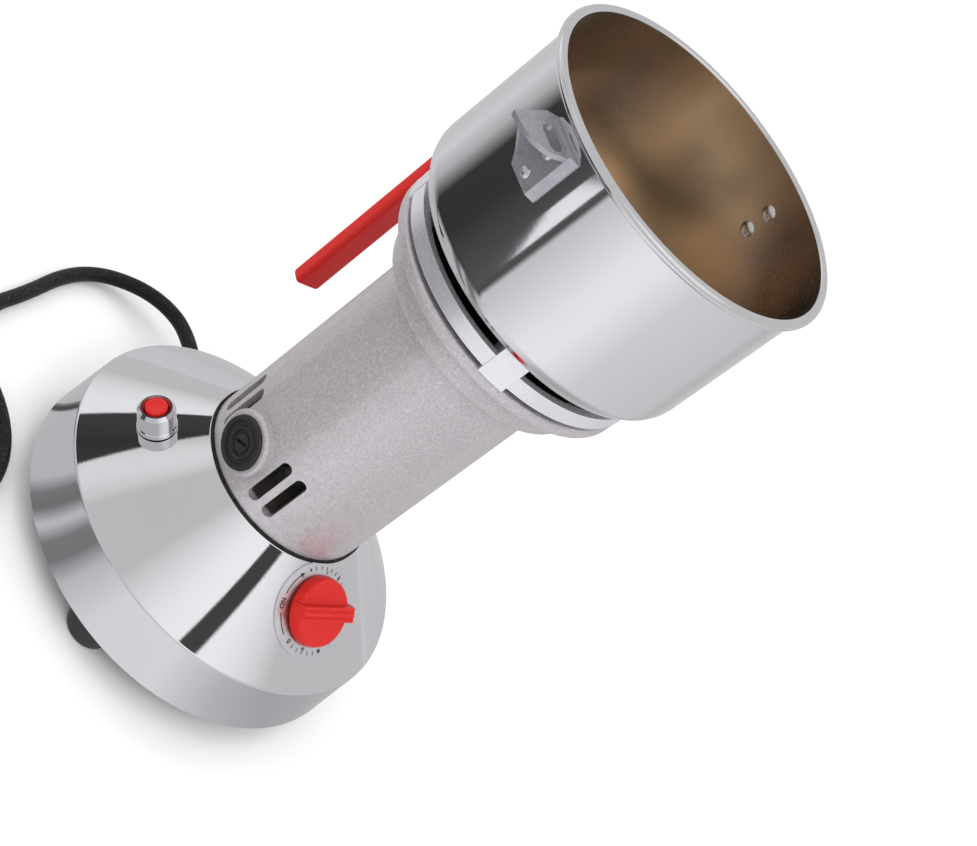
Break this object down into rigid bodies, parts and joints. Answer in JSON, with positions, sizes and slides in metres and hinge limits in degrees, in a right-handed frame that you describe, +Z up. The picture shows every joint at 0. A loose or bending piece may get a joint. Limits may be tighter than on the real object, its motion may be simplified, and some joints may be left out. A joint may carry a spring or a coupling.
{
  "type": "electric grain mill",
  "caption": "Upright electric grain mill: round steel base with timer and reset, motor column, vented collar, open grinding bowl with blades, side handle and a coiled mains lead.",
  "frame": {"origin": "on the floor under the motor's axis, at the middle of the base", "axes": "+Z up along the motor's axis, -Y towards the front catch and brush cap, +X towards the timer"},
  "size_m": [0.2546, 0.2819, 0.3119],
  "materials": {
    "mirror_steel": "mirror polished stainless steel",
    "black_steel": "black enamelled sheet",
    "zinc_screw": "bright zinc",
    "foot_rubber": "matt moulded rubber",
    "gasket_rubber": "matt seal rubber",
    "silver_paint": "sandy silver hammer paint",
    "motor_bracket": "bare casting",
    "bearing_steel": "ground",
    "lamination": "stacked laminations",
    "winding": "varnished copper wire",
    "shaft_steel": "ground",
    "commutator_copper": "turned copper",
    "black_plastic": "moulded",
    "carbon": "pressed carbon",
    "vent_aluminium": "satin",
    "bowl_steel": "polished outside, satin inside",
    "blade_steel": "ground edges",
    "catch_metal": "grey silver die casting",
    "rivet_metal": "domed",
    "bracket_steel": "bright strip",
    "red_plastic": "semi-gloss moulded",
    "dial_print": "satin, printed",
    "bright_nut": "plated",
    "lead_sheath": "semi-matt sheath",
    "plug_pin_metal": "plated"
  },
  "bodies": {
    "mill": {"base_shell": "mirror_steel", "base_plate": "black_steel", "bowl_carrier_plate": "black_steel", "base_plate_screws": "zinc_screw", "foot_screws": "zinc_screw", "housing_screws": "zinc_screw", "bearing_plate_screws": "zinc_screw", "bowl_screws": "zinc_screw", "handle_bracket_screws": "zinc_screw", "handle_screw": "zinc_screw", "rubber_foot_1": "foot_rubber", "rubber_foot_2": "foot_rubber", "rubber_foot_3": "foot_rubber", "rubber_foot_4": "foot_rubber", "neck_gasket": "gasket_rubber", "shaft_seal": "gasket_rubber", "motor_housing": "silver_paint", "lower_bearing_bracket": "motor_bracket", "upper_bearing_plate": "motor_bracket", "lower_bearing": "bearing_steel", "upper_bearing": "bearing_steel", "stator_core": "lamination", "field_coils": "winding", "brush_springs": "shaft_steel", "brush_holders": "black_plastic", "brush_cap_front": "black_plastic", "brush_cap_rear": "black_plastic", "timer_body": "black_plastic", "overload_breaker": "black_plastic", "terminal_block": "black_plastic", "carbon_brushes": "carbon", "vent_ring": "vent_aluminium", "bowl": "bowl_steel", "catch_front": "catch_metal", "catch_rear": "catch_metal", "catch_rivets": "rivet_metal", "handle_bracket": "bracket_steel", "handle_grip": "red_plastic", "dial_plate": "dial_print", "timer_nut": "bright_nut", "reset_nut": "bright_nut", "strain_relief": "lead_sheath", "inner_lead": "lead_sheath", "power_lead": "lead_sheath", "lead_coil": "lead_sheath", "plug": "lead_sheath", "plug_pins": "plug_pin_metal"},
    "rotor": {"rotor_shaft": "shaft_steel", "armature_core": "lamination", "armature_windings": "winding", "commutator": "commutator_copper", "cooling_fan": "black_plastic", "lower_blade": "blade_steel", "blade_spacer": "blade_steel", "upper_blade": "blade_steel", "blade_nut": "blade_steel"},
    "timer": {"timer_knob": "red_plastic", "timer_shaft": "shaft_steel"},
    "reset": {"reset_button": "red_plastic"}
  },
  "joints": [
    {"name": "rotor_spin", "type": "hinge", "parent": "mill", "child": "rotor", "pos_m": [0, 0, 0.15], "axis": [0, 0, 1], "continuous": true},
    {"name": "timer_turn", "type": "hinge", "parent": "mill", "child": "timer", "pos_m": [0.0575, 0, 0.06422], "axis": [0.6335, 0, 0.7737], "range_deg": [-300, 45]},
    {"name": "reset_press", "type": "slide", "parent": "mill", "child": "reset", "axis": [0.2876, 0.5645, -0.7737], "range_m": [0, 0.002], "stiffness_N_per_m": 400}
  ]
}
